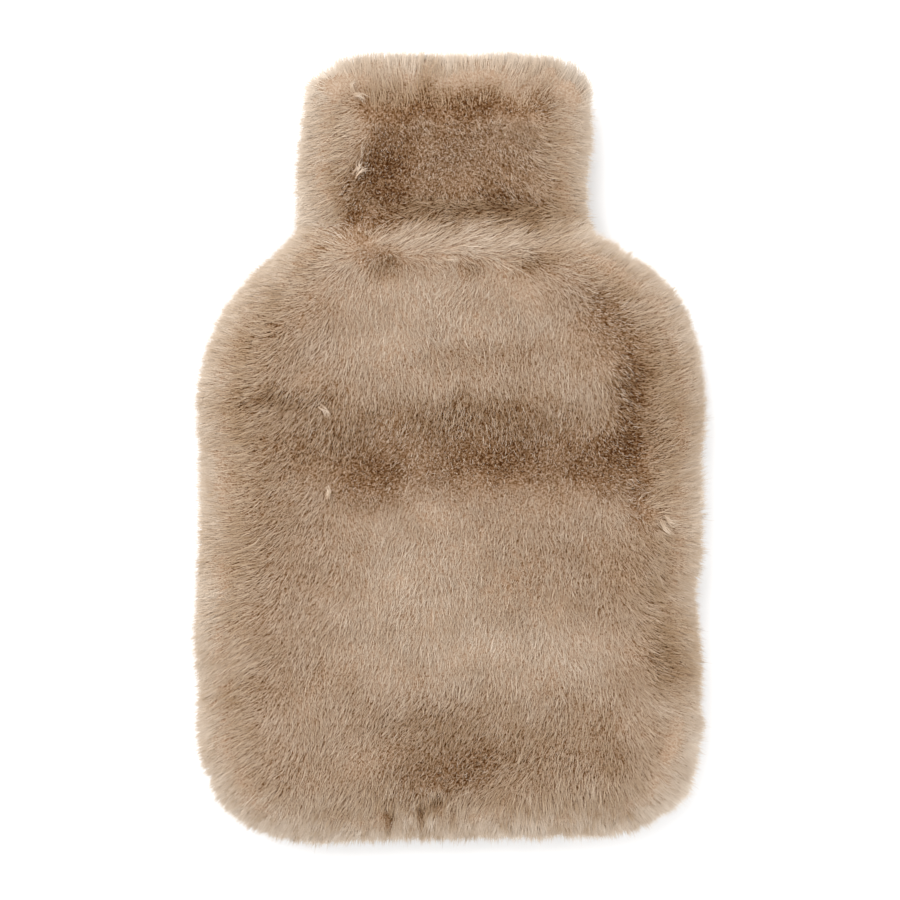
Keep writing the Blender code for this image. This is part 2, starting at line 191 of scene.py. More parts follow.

# %% [markdown]
# ## How the hair is brushed
#
# Hair lies down the body, up at the top of the neck and outwards near the side seam. Where
# it stands up towards the viewer, one looks down between the hairs into their shade, and the
# cover is painted darker there. Each row below is a place that differs from the rest, found in
# the photograph and written as a soft round patch: where its middle is in mm, half its width
# and half its length, which way its hair points (in degrees from +X, or whorl for outwards
# from the patch's own middle), how strongly it pulls, how flat the hair lies there from 0 to
# 1, how much paler or darker it is, and how many mm longer. That paler or darker is painted
# shade in the troughs, creases, hollows and gaps, and elsewhere the fur's own tone together
# with painted light and shade. Where patches overlap, pulls are weighed against each other,
# tones and lengths add up, and the later row says how flat.

# %% Places of the nap
WHORL = "whorl"
Nap = namedtuple("Nap", "name across along wide long toward pull lay tone longer")
NAPS = [
    Nap("neck top", 0, 173, 90, 12, 90, 6.0, 1.25, 0.22, 0.0),
    Nap("palest part of the neck top", 36, 176, 22, 8, 80, 1.0, 1.15, 0.08, 0.0),
    Nap("brown roots of the neck top", -4, 164, 30, 6, 90, 1.0, 1.00, -0.12, 0.0),
    Nap("neck top corner, left", -64, 172, 14, 12, 146, 3.0, 0.95, 0.15, 9.8),
    Nap("neck top corner, right", 60, 173, 13, 11, 64, 4.0, 1.05, 0.18, 5.5),
    Nap("neck side, upper left", -69, 151, 10, 15, 190, 1.5, 0.42, 0.04, 3.5),
    Nap("neck, inner left", -53, 148, 10, 18, 219, 5.0, 0.42, 0.02, 0.0),
    Nap("neck side, lower left", -71, 122, 10, 16, 190, 0.8, 0.40, 0.02, 3.2),
    Nap("neck side, lower right", 67, 124, 10, 18, 355, 0.5, 0.40, 0.00, -3.6),
    Nap("neck side, upper right", 64, 144, 12, 20, 333, 4.0, 0.42, 0.02, 1.0),
    Nap("band under the neck top", -2, 159, 40, 6, 90, 6.0, 0.75, -0.19, 0.0),
    Nap("second band of the neck", 0, 148, 44, 6, 280, 0.6, 0.25, -0.02, 0.0),
    Nap("neck middle", 2, 132, 44, 24, 300, 0.8, 0.14, -0.13, 0.0),
    Nap("neck hollow, left", -28, 128, 12, 19, 90, 0.3, 0.06, -0.18, -0.7),
    Nap("neck hollow, lower left", -44, 120, 9, 12, 225, 0.6, 0.15, -0.16, 0.0),
    Nap("neck hollow, right", 29, 113, 16, 8, 300, 0.6, 0.08, -0.14, 0.0),
    Nap("neck foot, left", -62, 111, 10, 8, 215, 1.5, 0.40, 0.06, 0.0),
    Nap("neck foot, inner left", -49, 102, 12, 6, 235, 0.6, 0.24, 0.07, 0.0),
    Nap("neck foot, middle", 5, 108, 43, 7, 35, 4.0, 0.40, -0.23, 0.0),
    Nap("neck corner, right", 71, 104, 8, 9, 285, 5.0, 0.34, 0.03, -12.0),
    Nap("shoulder top, right", 84, 93, 9, 8, 20, 0.5, 0.34, 0.10, -3.2),
    Nap("neck corner, left", -76, 90, 12, 14, 200, 0.5, 0.30, -0.08, 0.0),
    Nap("pale patch of the left shoulder", -52, 76, 12, 9, 230, 0.5, 0.30, 0.06, 0.0),
    Nap("shoulder ridge", 4, 96, 62, 8, 37, 3.0, 0.55, 0.05, 0.3),
    Nap("under side of the ridge", 26, 89, 44, 5, 352, 2.5, 0.45, 0.01, 0.0),
    Nap("left end of the ridge", -58, 86, 20, 11, 211, 5.0, 0.42, 0.00, 0.0),
    Nap("left shoulder, inner", -77, 67, 11, 14, 214, 4.0, 0.34, 0.04, 0.0),
    Nap("left shoulder whorl", -43, 92, 12, 9, WHORL, 0.8, 0.40, 0.05, 0.0),
    Nap("crease under the ridge, left", -27, 83, 10, 5, 270, 0.5, 0.20, -0.19, -0.5),
    Nap("crease under the ridge, middle", 9, 83, 7, 4, 270, 0.5, 0.25, -0.16, 0.0),
    Nap("crease under the ridge, right", 39, 84, 9, 5, 280, 0.5, 0.25, -0.16, 0.0),
    Nap("pale patch of the right shoulder", 54, 78, 17, 12, 320, 1.0, 0.30, 0.08, 0.0),
    Nap("left shoulder", -84, 52, 26, 26, 215, 1.0, 0.34, -0.07, 1.0),
    Nap("right shoulder", 86, 70, 16, 14, 25, 1.5, 0.34, 0.00, 0.0),
    Nap("upper field", -8, 62, 54, 22, 264, 1.0, 0.30, 0.08, 0.0),
    Nap("upper field, middle", 17, 56, 34, 12, 293, 1.5, 0.30, 0.02, 0.0),
    Nap("dull patch of the upper field", 14, 45, 30, 9, 250, 0.5, 0.26, -0.10, 0.0),
    Nap("trough", 12, 0, 80, 19, 250, 0.4, 0.12, -0.16, 0.0),
    Nap("trough, left half", -30, 1, 30, 13, 224, 1.5, 0.14, 0.02, 0.0),
    Nap("left of the trough", -82, -9, 15, 20, 198, 3.0, 0.32, -0.06, 0.0),
    Nap("trough, left end", -56, 4, 24, 17, 225, 0.8, 0.22, -0.10, 0.0),
    Nap("trough, upper left arm", -78, 22, 30, 6, 225, 0.6, 0.24, -0.20, 0.0),
    Nap("trough, upper side", 14, 17, 46, 8, 255, 0.5, 0.20, -0.13, 0.0),
    Nap("trough, left lobe", -37, -15, 15, 11, 230, 0.4, 0.10, -0.15, 0.0),
    Nap("trough, middle lobe", 23, -4, 24, 9, 260, 0.4, 0.10, -0.07, 0.0),
    Nap("trough, right end", 72, -9, 17, 13, 290, 0.4, 0.10, -0.10, 0.0),
    Nap("right crease, top", 74, 55, 12, 18, 290, 0.6, 0.15, -0.08, 0.0),
    Nap("right crease", 83, 29, 9, 22, 300, 0.4, 0.12, -0.20, -0.3),
    Nap("right crease, deepest", 80, 3, 13, 9, 90, 0.3, 0.10, -0.10, -0.5),
    Nap("right rim", 106, 20, 16, 42, 40, 5.0, 0.38, -0.07, 0.0),
    Nap("right side whorl", 96, -29, 14, 14, WHORL, 0.8, 0.40, 0.03, 0.0),
    Nap("lower right side", 108, -90, 12, 40, 318, 3.0, 0.40, -0.12, 0.0),
    Nap("right edge of the lower field", 87, -105, 12, 36, 272, 5.0, 0.28, 0.00, 0.0),
    Nap("dark patch of the right side", 101, -98, 13, 10, 320, 0.5, 0.25, -0.17, 0.0),
    Nap("left side", -72, -50, 24, 38, 225, 0.8, 0.30, -0.07, 0.0),
    Nap("left side, low", -72, -108, 30, 14, 230, 0.5, 0.30, -0.08, 0.0),
    Nap("left rim, low", -107, -98, 15, 42, 230, 2.5, 0.42, 0.02, 0.0),
    Nap("lower field", 0, -78, 60, 30, 264, 1.0, 0.30, 0.05, 0.0),
    Nap("palest part of the lower field", -14, -50, 30, 30, 262, 0.5, 0.30, 0.05, 0.0),
    Nap("pale band of the lower field", 42, -92, 46, 11, 262, 0.5, 0.30, 0.06, 0.0),
    Nap("dull patch of the lower field", 54, -56, 42, 20, 255, 0.5, 0.26, -0.08, 0.0),
    Nap("bottom hollow", 0, -134, 38, 20, 224, 4.0, 0.24, -0.14, 0.0),
    Nap("bottom flow", -30, -149, 44, 15, 222, 6.0, 0.30, 0.02, 0.0),
    Nap("bottom hollow, deepest", 6, -146, 18, 13, 215, 1.0, 0.14, -0.04, 0.0),
    Nap("bottom hollow, lower left", -14, -154, 18, 14, 220, 0.5, 0.20, -0.07, 0.0),
    Nap("bottom hollow, right", 62, -134, 40, 20, 260, 0.6, 0.26, -0.10, 0.0),
    Nap("lower right corner", 94, -128, 14, 28, 320, 1.0, 0.30, 0.13, 0.0),
    Nap("bottom left", -59, -144, 28, 16, 233, 4.0, 0.30, -0.02, 0.0),
    Nap("bottom rim, left", -66, -168, 22, 12, 232, 3.0, 0.40, 0.00, 1.5),
    Nap("bottom edge", 25, -187, 78, 13, 268, 0.5, 0.36, -0.18, -3.0),
    Nap("bottom edge, right", 52, -187, 26, 12, 268, 0.5, 0.36, 0.03, -1.8),
    Nap("pale rim, bottom right", 48, -171, 30, 7, 275, 0.5, 0.36, 0.08, 0.0),
    Nap("gap in the bottom edge, left", -28, -171, 2.5, 4, 240, 2.0, 0.20, -0.45, -3.0),
    Nap("gap in the bottom edge, middle", -13, -169, 2.5, 4, 300, 2.0, 0.20, -0.45, -3.0),
    Nap("gap in the bottom edge, right", -5, -164, 3, 4, 240, 2.0, 0.20, -0.35, -2.0),
    Nap("bottom corner, left", -102, -163, 15, 14, 225, 1.0, 0.42, 0.04, 3.4),
    Nap("left edge, low", -117, -140, 12, 26, 222, 1.5, 0.42, -0.12, 3.0),
    Nap("bottom corner, right", 107, -158, 15, 15, 320, 1.0, 0.42, 0.11, 5.2),
    Nap("right edge, low", 119, -134, 12, 18, 318, 0.5, 0.42, 0.07, 4.4),
    Nap("left edge", -122, -50, 14, 90, 180, 0.3, 0.42, -0.12, 1.6),
    Nap("right edge", 122, -30, 14, 90, 0, 0.3, 0.42, -0.03, -0.6),
    Nap("pale tuft at the bottom", 16, -168, 5, 4, 268, 1.5, 0.50, 0.14, 1.0),
]
print(len(NAPS), "places of the nap")

# %% [markdown]
# ### Values that change smoothly
#
# Nothing in fur has a hard edge. These helpers work on thousands of points at once, as
# arrays: a soft step from 0 to 1, and a sum of waves in all directions, which wanders
# without a pattern. A fixed seed makes it the same each time.

# %% Helpers for many points
WAVES = 10                 # how many waves a wandering value is made of,
WAVE_LENGTHS = (0.6, 1.5)  # and how much they differ in length


def wander(points, size, seed):
    """A smooth value, mostly from -1 to 1, that changes over about that size."""
    rng = np.random.default_rng(seed)
    ways = rng.normal(size=(WAVES, 3))
    ways /= np.linalg.norm(ways, axis=1)[:, None]
    ways *= rng.uniform(*WAVE_LENGTHS, WAVES)[:, None] * math.pi / size
    phases = rng.uniform(0, 2 * math.pi, WAVES)
    return np.sin(points @ ways.T + phases).sum(axis=1) / math.sqrt(WAVES)


def soft_step(value, low, high):
    """0 up to the low value and 1 from the high one, with a soft slope between."""
    t = np.clip((value - low) / (high - low), 0, 1)
    return t * t * (3 - 2 * t)


def lengths(vectors):
    return np.linalg.norm(vectors, axis=-1, keepdims=True)


def unit(vectors):
    return vectors / np.maximum(lengths(vectors), 1e-9)


# %% [markdown]
# ### Outwards near the seam
#
# Near the edge the hair turns outwards, whatever it does in the fields. On the steep side
# the surface itself says which way is out. On the crown that is the way to the nearest
# place of the seam, as seen from above.

# %% The way to the seam
BODY_ZONE = 48 * MM        # how far from the seam the hair starts to turn outwards,
NECK_ZONE = 27 * MM        # and how far on the narrower neck
NECK_FOOT = 102 * MM       # where the neck begins
NECK_FULL = 1.1 * NECK_FOOT  # and where its own zone holds
OUTERMOST = 0.1            # in this share of the zone the hair points outwards alone


def seam_outline(panel):
    """A tree of the places along the seam's outer edge, seen from above."""
    bm, side = panel
    edge = [vert.co for vert in bm.verts
            if at_seam(vert.co) and any(face[side] == OUTER for face in vert.link_faces)]
    tree = KDTree(len(edge))
    for index, place in enumerate(edge):
        tree.insert((place.x, place.y, 0), index)
    tree.balance()
    print("the seam's edge has", len(edge), "places")
    return tree


outline = seam_outline(front)


def outwards(points, normals):
    """The way out from each point, how much the hair turns that way, and how steep it is."""
    nearest = np.array([outline.find((x, y, 0))[0][:2] for x, y in points[:, :2]])
    gap = nearest - points[:, :2]
    steep = lengths(normals[:, :2])
    way = unit(unit(gap) * (1 - steep) + unit(normals[:, :2]) * steep)
    on_body = 1 - soft_step(points[:, 1:2], NECK_FOOT, NECK_FULL)
    zone = NECK_ZONE + (BODY_ZONE - NECK_ZONE) * on_body
    return way, 1 - soft_step(lengths(gap), OUTERMOST * zone, zone), steep[:, 0]


# %% [markdown]
# ### Combing
#
# A point starts with what holds for the whole cover, and then each patch near it draws its
# values to its own. Where the ways of two patches cancel out, the hair parts and stands up,
# and painted shade makes it darker there. The nap wanders a little everywhere. On the steep
# sides the hair hangs down by its weight.

# %% The way, the tone and the reach at each point
BODY_LAY = 0.28            # how flat the hair lies in the fields,
RIM_LAY = 0.36             # and at the rim
SLOPE_PAINTED_SHADE = -0.12         # the slope down to the seam is painted a little darker, as painted shade,
RIM_PAINTED_LIGHT = 0.25            # and the rim itself painted paler, as painted light on its backlit hair
RIM_STEEP = 0.55           # where the rim and its painted light begin: 0 is flat, 1 upright
PARTING_PAINTED_SHADE = 0.08        # how much painted shade darkens it where the hair parts
AGREEMENT = (0.05, 0.75)   # how far the ways agree where the hair parts, and where it lies
HANG = 0.6                 # how much the hair hangs down where the side is upright,
HANG_STEEP = 0.5           # and where that begins
WANDER_TURN = 0.22         # how far the nap wanders, in radians,
WANDER_FINE = 0.6          # and the share of that in its finer wander
PATCH_EDGE = 1.5           # 1 gives a patch a soft edge, and more a firmer one
RAGGED_EDGE = 2.2 * MM     # how far the patches' edges wander, in tufts,
SMALL_PATCH = 12           # and less so in patches narrower than this
UNDERSIDE = -0.3           # what looks down more than this belongs to the back
EDGE_REACH = 7.2 * MM      # how far the hair reaches beyond the panels' solids at the seam,
EDGE_STEEP = 0.6           # where that begins,
MOUTH_REACH = 4.5 * MM     # and how far at the mouth
MOUTH_ZONE = (157 * MM, 177 * MM)  # along the cover, where the mouth's hair starts and is full


def patch_at(nap, points, normals, ragged):
    """How much of a patch each point has, and which way the patch's hair points there."""
    off = points[:, :2] - np.array([nap.across, nap.along]) * MM
    off += min(1, nap.wide / SMALL_PATCH) * ragged
    spread = (off[:, 0] / (nap.wide * MM)) ** 2 + (off[:, 1] / (nap.long * MM)) ** 2
    share = np.exp(-spread ** PATCH_EDGE) * (normals[:, 2] > UNDERSIDE)
    if nap.toward == WHORL:
        return share, unit(off)
    angle = math.radians(nap.toward)
    return share, np.array([[math.cos(angle), math.sin(angle)]])


def beyond_solid(points, normals):
    """How far the hair reaches beyond the solid, at the seam and at the mouth."""
    below_mouth = points[:, 1] < MOUTH_ZONE[0]
    sideways = normals[:, :2] * np.stack([np.ones(len(points)), below_mouth], axis=1)
    return np.maximum(EDGE_REACH * soft_step(lengths(sideways)[:, 0], EDGE_STEEP, 1.0),
                      MOUTH_REACH * soft_step(points[:, 1], *MOUTH_ZONE))


def brushed(points, normals):
    """For each point: the way its hair leans, its tone with painted light and shade, and its reach beyond
    the solid.
    """
    way_out, out, steep = outwards(points, normals)
    at_mouth = soft_step(points[:, 1:2], *MOUTH_ZONE)
    down_or_up = np.array([0.0, 1.0]) * (2 * at_mouth - 1)
    toward = way_out * out + down_or_up * (1 - out)
    total = np.ones((len(points), 1))
    lay = BODY_LAY + (RIM_LAY - BODY_LAY) * out[:, 0]
    # painted shade on the slope down to the seam, and painted light on the rim
    tone = SLOPE_PAINTED_SHADE * out[:, 0] + RIM_PAINTED_LIGHT * soft_step(steep, RIM_STEEP, 1.0)
    reach = beyond_solid(points, normals)
    ragged = RAGGED_EDGE * np.stack([wander(points, 6 * MM, 10), wander(points, 6 * MM, 11)], axis=1)
    for nap in NAPS:
        share, way = patch_at(nap, points, normals, ragged)
        toward += (share * nap.pull)[:, None] * way
        total += (share * nap.pull)[:, None]
        lay += share * (nap.lay - lay)
        tone += share * nap.tone
        reach += share * nap.longer * MM
    toward /= total
    agreement = soft_step(lengths(toward), *AGREEMENT)
    # painted shade where the hair parts and one looks down between the hairs
    tone = tone - PARTING_PAINTED_SHADE * (1 - agreement[:, 0])
    turn = WANDER_TURN * (wander(points, 22 * MM, 3) + WANDER_FINE * wander(points, 7 * MM, 4))
    cos, sin = np.cos(turn), np.sin(turn)
    toward = unit(toward)
    hang = HANG * soft_step(steep, HANG_STEEP, 1.0) * (1 - at_mouth[:, 0])
    turned = np.stack([toward[:, 0] * cos - toward[:, 1] * sin,
                       toward[:, 0] * sin + toward[:, 1] * cos, -hang], axis=1)
    along = turned - normals * (turned * normals).sum(axis=1, keepdims=True)
    return along * agreement * lay[:, None], tone, reach


# %% [markdown]
# ## The underfur
#
# Below the tips the hair is so dense that it is one felted body. It is the whole solid. Its
# outer side lies a few millimetres below the tips, a little uneven, and its hollow side is
# drawn into the cloth, so that the two never share a surface. At the side seams and the
# mouth the hair of both panels stands out beyond the solids, and the underfur follows it.
# The solids leave a slit at the seam. The edge of each underfur moves as far past the
# middle of that slit as it was short of it, so no light comes through.

# %% Front and back underfur
TIP_DEPTH = 3.6 * MM       # how far its outer side lies below the tips,
FELT_UNEVEN = 0.5 * MM     # and how uneven it is
TUCKED = 0.8 * MM          # how far its hollow side is drawn into the cloth
MIDDLE_SHADE = 0.5         # its painted shade where the tone is 0,
SHADE_CHANGE = 1.4         # how much the tone changes it,
PALEST = 0.10              # and the tone from which it gets no paler
FLOOR_CLEAR = 0.5 * MM     # nothing comes nearer to the floor than this


def make_underfur(panel, name):
    bm = panel[0].copy()
    side = bm.faces.layers.int["outer"]
    places = np.array([vert.co for vert in bm.verts])
    uneven = wander(places, 14 * MM, 2)
    _, tones, reaches = brushed(places, np.array([vert.normal for vert in bm.verts]))
    # the painted shade of each point: darker where the nap opens, a little paler at the rim
    shade = bm.verts.layers.float.new("shade")
    moves = {}
    for vert, change, tone, reach in zip(bm.verts, uneven, tones, reaches):
        vert[shade] = MIDDLE_SHADE + SHADE_CHANGE * min(tone, PALEST)
        outer = [face.normal for face in vert.link_faces if face[side] == OUTER]
        if outer:
            way = sum(outer, Vector())
            past_seam = Vector()
            if at_seam(vert.co):
                way.z = 0
                past_seam.z = 2 * (SEAM_HEIGHT - vert.co.z)
            moves[vert] = way.normalized() * (reach - TIP_DEPTH - FELT_UNEVEN * change) + past_seam
        elif all(face[side] == HOLLOW for face in vert.link_faces):
            moves[vert] = vert.normal * -TUCKED
    for vert, move in moves.items():
        vert.co += move
        vert.co.z = max(vert.co.z, FLOOR_CLEAR)
    print(name, "has", len(bm.faces), "faces")
    return piece_from(bm, name)


front_underfur = make_underfur(front, "front_underfur")
back_underfur = make_underfur(back, "back_underfur")

# %% [markdown]
# ## Where the hair grows
#
# Points are spread over the outer side by area, one after the other, so that they are even
# without a pattern. Each point is lifted off its flat face onto the round surface that the
# smooth normals describe. The steep sides, where hair spreads like a brush round a corner,
# get more than their share.

# %% Scattering over a surface
ROUNDNESS = 0.7            # how far a point is lifted, 1 being all the way
STEEP_FROM = 0.4           # where steep begins: 0 is flat, 1 upright
STEEP_DENSITY = 2.4        # how many times as many hairs grow upright as on the flat,
BACK_DENSITY = 6.0         # and on the back, which shows little more than its edge


def triangles_of(panel):
    """The corners and their normals of each triangle of a panel's outer side."""
    bm = keep_side(panel, OUTER)
    bmesh.ops.triangulate(bm, faces=bm.faces)
    bm.normal_update()
    corners = np.array([[vert.co for vert in face.verts] for face in bm.faces])
    normals = np.array([[vert.normal for vert in face.verts] for face in bm.faces])
    bm.free()
    return corners, normals


def scatter(panel, count, rng, density=STEEP_DENSITY):
    """Points all over a panel's outer side, and the normal at each."""
    corners, normals = triangles_of(panel)
    wings = np.cross(corners[:, 1] - corners[:, 0], corners[:, 2] - corners[:, 0])
    areas = np.linalg.norm(wings, axis=1)
    steep = np.linalg.norm(wings[:, :2], axis=1) / areas
    wanted = areas * (1 + (density - 1) * soft_step(steep, STEEP_FROM, 1.0))
    reached = np.cumsum(wanted) / wanted.sum()
    picks = np.searchsorted(reached, (np.arange(count) + rng.random(count)) / count)
    picks = np.minimum(picks, len(areas) - 1)
    root, side = np.sqrt(rng.random(count)), rng.random(count)
    shares = np.stack([1 - root, root * (1 - side), root * side], axis=1)[:, :, None]
    flat = (corners[picks] * shares).sum(axis=1)
    normal = unit((normals[picks] * shares).sum(axis=1))
    rise = ((corners[picks] - flat[:, None]) * normals[picks]).sum(axis=2, keepdims=True)
    return flat + ROUNDNESS * (rise * normals[picks] * shares).sum(axis=1), normal


# %% [markdown]
# ## The hairs
#
# A hair starts a little inside the underfur, leans the way it is brushed and ends in a
# point. Neighbouring tips lean together a little, as they do in a real pile. What a hair
# does depends on where it grows. At the rim it is ragged and tufted. Upright hair is seen
# end-on, each tip a dot of its own tone. Silky hair is long and flat and shines evenly.

# %% The course of a hair
ROOT_DEPTH = 1.2 * MM      # how deep in the underfur a hair starts
LONG_RUN = 12.0 * MM       # sideways reach of hair that lies flat
UNEVEN = 0.35 * MM         # how uneven the height of the nap is
RAGGED = 0.12              # how much hairs differ in length,
RIM_RAGGED = 0.08          # and how much more at the rim
STRAY = 1.1 * MM           # how far a tip strays from its place,
UPRIGHT_STEADY = 0.4 * MM  # how much less where the hair stands up,
RIM_STRAY = 0.5 * MM       # and how much more at the rim
SEAM_MIX = 4.0 * MM        # so near the seam the two panels' hairs cross over it,
CROSSING = 2.0             # for they stray so many times more, up and down
LEADING = 0.06             # this share of the hairs lead a tuft,
GATHERED = 0.05            # and draw the tips nearest to them so much nearer, in the fields,
GATHERED_RIM = 0.36        # and so much more at the rim and where it is silky
GATHER_RANGE = (0.4, 1.4)  # some hairs follow less and some more
TRIM_LINE = 181.5 * MM     # the hair is trimmed along the mouth,
TRIM_UNEVEN = 1.0 * MM     # not quite straight,
TRIM_SHORTEST = 0.3        # and keeps at least this share of its length
FLOOR_SPREAD = 0.5 * MM    # hair pressed to the floor ends in a layer this thick
BEND_SPREAD = 0.7          # how much the way of a bend differs from straight up
UPRIGHT_LAY = 0.3          # hair that lies flatter than this isn't upright at all,
SILKY_LAY = 0.5            # and hair that lies less flat than this isn't silky
Ground = namedtuple("Ground", "points normals at_rim upright silky")


def ground_at(points, normals, lean):
    """What kind of place each hair grows in, each kind from 0 to 1."""
    flat = lengths(lean)[:, 0]
    at_rim = lengths(normals[:, :2])[:, 0] ** 2
    upright = 1 - soft_step(flat, 0.0, UPRIGHT_LAY)
    silky = np.maximum(soft_step(flat, SILKY_LAY, 1.0), soft_step(points[:, 1], *MOUTH_ZONE))
    return Ground(points, normals, at_rim, upright, silky)


def stray_from(ground, rng):
    """How far each tip is from where it should be."""
    amount = STRAY - UPRIGHT_STEADY * ground.upright + RIM_STRAY * ground.at_rim
    stray = rng.normal(0, 1, ground.points.shape) * amount[:, None]
    near_seam = np.exp(-((ground.points[:, 2] - SEAM_HEIGHT) / SEAM_MIX) ** 2)
    stray[:, 2] *= 1 + CROSSING * near_seam
    return stray


def nearest_leaders(points, rng):
    """For each hair, the number of the nearest of the few hairs that lead a tuft."""
    leaders = rng.permutation(len(points))[:max(1, int(len(points) * LEADING))]
    tree = KDTree(len(leaders))
    for leader in leaders:
        tree.insert(points[leader], leader)
    tree.balance()
    return np.array([tree.find(point)[1] for point in points])


def gather(tips, leaders, ground, rng):
    """Draws each tip towards that of its leader."""
    pulls = GATHERED + GATHERED_RIM * np.maximum(ground.at_rim, ground.silky)
    pulls = pulls * rng.uniform(*GATHER_RANGE, len(tips))
    tips += pulls[:, None] * (tips[leaders] - tips)


def trimmed(roots, tips, limits):
    """Tips drawn back along their hairs to a trim line across the mouth."""
    over = np.maximum(tips[:, 1] - roots[:, 1], 1e-6)
    share = np.clip((limits - roots[:, 1]) / over, TRIM_SHORTEST, 1.0)
    return roots + (tips - roots) * share[:, None]


def keep_off_floor(ends, rng):
    """Lifts the ends that are too low into a thin layer."""
    low = ends[:, 2] < FLOOR_CLEAR
    ends[low, 2] = FLOOR_CLEAR + FLOOR_SPREAD * rng.random(low.sum())


# %% The tone of a hair
DARKEST, PALEST_HAIR = 0.03, 0.97  # so a hair keeps off the edges of its chart of colours
HAIR_TONES = 0.045         # how much single hairs differ in tone in the fields,
RIM_TONES = 0.03           # how much more at the rim,
UPRIGHT_TONES = 0.45       # how much more end-on,
SILKY_TONES = 0.7          # and how much less where it is silky, as a share
FIELD_TUFTS = 0.01         # how much whole tufts differ in the fields,
RIM_TUFTS = 0.04           # and how much more at the rim,
BOTTOM_TUFTS = 0.09        # along the bottom edge
UPRIGHT_TUFTS = 0.04       # and end-on
BOTTOM_FACING = (0.3, 0.8)  # how much the rim faces down the page where the bottom edge is
SLOW_TONES = 0.04          # how much the tone wanders over a centimetre,
QUICK_TONES = 0.03         # and over half of one


def tones_of(ground, tone, leaders, rng):
    """Each hair's tone with the painted light and shade of its place, from 0 for the darkest to 1 for the
    palest.
    """
    slow = SLOW_TONES * wander(ground.points, 12 * MM, 8)
    tones = 0.5 + tone + slow + QUICK_TONES * wander(ground.points, 5 * MM, 12)
    spread = HAIR_TONES + RIM_TONES * ground.at_rim + UPRIGHT_TONES * ground.upright
    tones += rng.normal(0, 1, len(tones)) * spread * (1 - SILKY_TONES * ground.silky)
    along_bottom = soft_step(-ground.normals[:, 1], *BOTTOM_FACING)
    tufted = (RIM_TUFTS + BOTTOM_TUFTS * along_bottom) * ground.at_rim
    tones += rng.normal(0, 1, len(tones))[leaders] * (FIELD_TUFTS + tufted + UPRIGHT_TUFTS * ground.upright)
    return np.clip(tones, DARKEST, PALEST_HAIR)


# %% Growing a coat
UPRIGHT_FINER = 0.30       # how much finer a hair looks end-on,
SILKY_FINER = 0.25         # and where it is silky
WIDTH_RANGE = (0.8, 1.2)   # hairs differ in width, as a share of their width
SOFT_SHADING = 0.74        # how much a hair is shaded as the cover's own surface,
RIM_CONTRAST = 0.10        # how much less so at the rim,
SILKY_SOFT = 0.2           # and how much more where it is silky
Coat = namedtuple("Coat", "points normals roots middles tips tones widths softness")


def grow(places, seed, run=LONG_RUN, paler=0.0, bend=0.0):
    """A coat with a hair at each place: its course, tone, width and shading."""
    points, normals = places
    count = len(points)
    rng = np.random.default_rng(seed)
    lean, tone, reach = brushed(points, normals)
    ground = ground_at(points, normals, lean)
    roots = points + normals * (reach - TIP_DEPTH - ROOT_DEPTH)[:, None]
    ragged = rng.normal(0, 1, (2, count)) * (RAGGED + RIM_RAGGED * ground.at_rim)
    height = (TIP_DEPTH + ROOT_DEPTH + UNEVEN * wander(points, 9 * MM, 6)) * (1 + ragged[0])
    run = run * (1 + ragged[1])
    tips = roots + normals * height[:, None] + lean * run[:, None] + stray_from(ground, rng)
    leaders = nearest_leaders(points, rng)
    gather(tips, leaders, ground, rng)
    line = TRIM_LINE + TRIM_UNEVEN * (wander(points, 18 * MM, 9) + rng.normal(0, 1, count))
    tips = trimmed(roots, tips, line)
    keep_off_floor(roots, rng)
    keep_off_floor(tips, rng)
    middles = (roots + tips) / 2 + bend * (normals + BEND_SPREAD * rng.normal(0, 1, (count, 3)))
    tones = tones_of(ground, paler + tone, leaders, rng)
    softness = SOFT_SHADING - RIM_CONTRAST * ground.at_rim + SILKY_SOFT * ground.silky
    widths = 1 - UPRIGHT_FINER * ground.upright - SILKY_FINER * ground.silky
    widths = rng.uniform(*WIDTH_RANGE, count) * widths
    return Coat(points, normals, roots, middles, tips, tones, widths, softness)


# %% [markdown]
# ## From hairs to meshes
#
# Two hundred thousand spikes are too many for one operator call each. Their corners are
# worked out together as arrays, and each array becomes one mesh. A hair is a spike with
# three sides, closed at its root, and a long one bends once in its middle.
#
# Its UV map is a chart of colours and not an unwrapping: across is the hair's tone, with the
# painted light and shade of its place, and up is the way from root to tip, so hairs that
# share a place on it also share a colour. A real hair is round and lets light through, so it
# has no dark side. Its normals are therefore turned towards the cover's own surface.

# %% The corners and faces of spikes
RING_WIDTHS = (1.0, 0.8)   # how wide a hair is at its root, and at its bend
ASIDE = np.array([0.31, 0.17, 0.93])  # a way that next to no hair has, to turn from


def rings_round(centres, ways, radii, turns):
    """Three corners round each centre, square to its way."""
    side = unit(np.cross(ways, ASIDE))
    up = np.cross(ways, side)
    corners = []
    for corner in range(3):
        angle = (turns + corner * 2 * math.pi / 3)[:, None]
        corners.append(centres + radii[:, None] * (np.cos(angle) * side + np.sin(angle) * up))
    return np.stack(corners, axis=1)


def spike_faces(rings):
    """The triangles of a closed spike: its root, its sides ring by ring, and its tip."""
    faces = [(2, 1, 0)]
    for ring in range(rings - 1):
        for corner in range(3):
            low, beside = 3 * ring + corner, 3 * ring + (corner + 1) % 3
            faces += [(low, beside, beside + 3), (low, beside + 3, low + 3)]
    last = 3 * (rings - 1)
    faces += [(last + corner, last + (corner + 1) % 3, 3 * rings) for corner in range(3)]
    return np.array(faces)


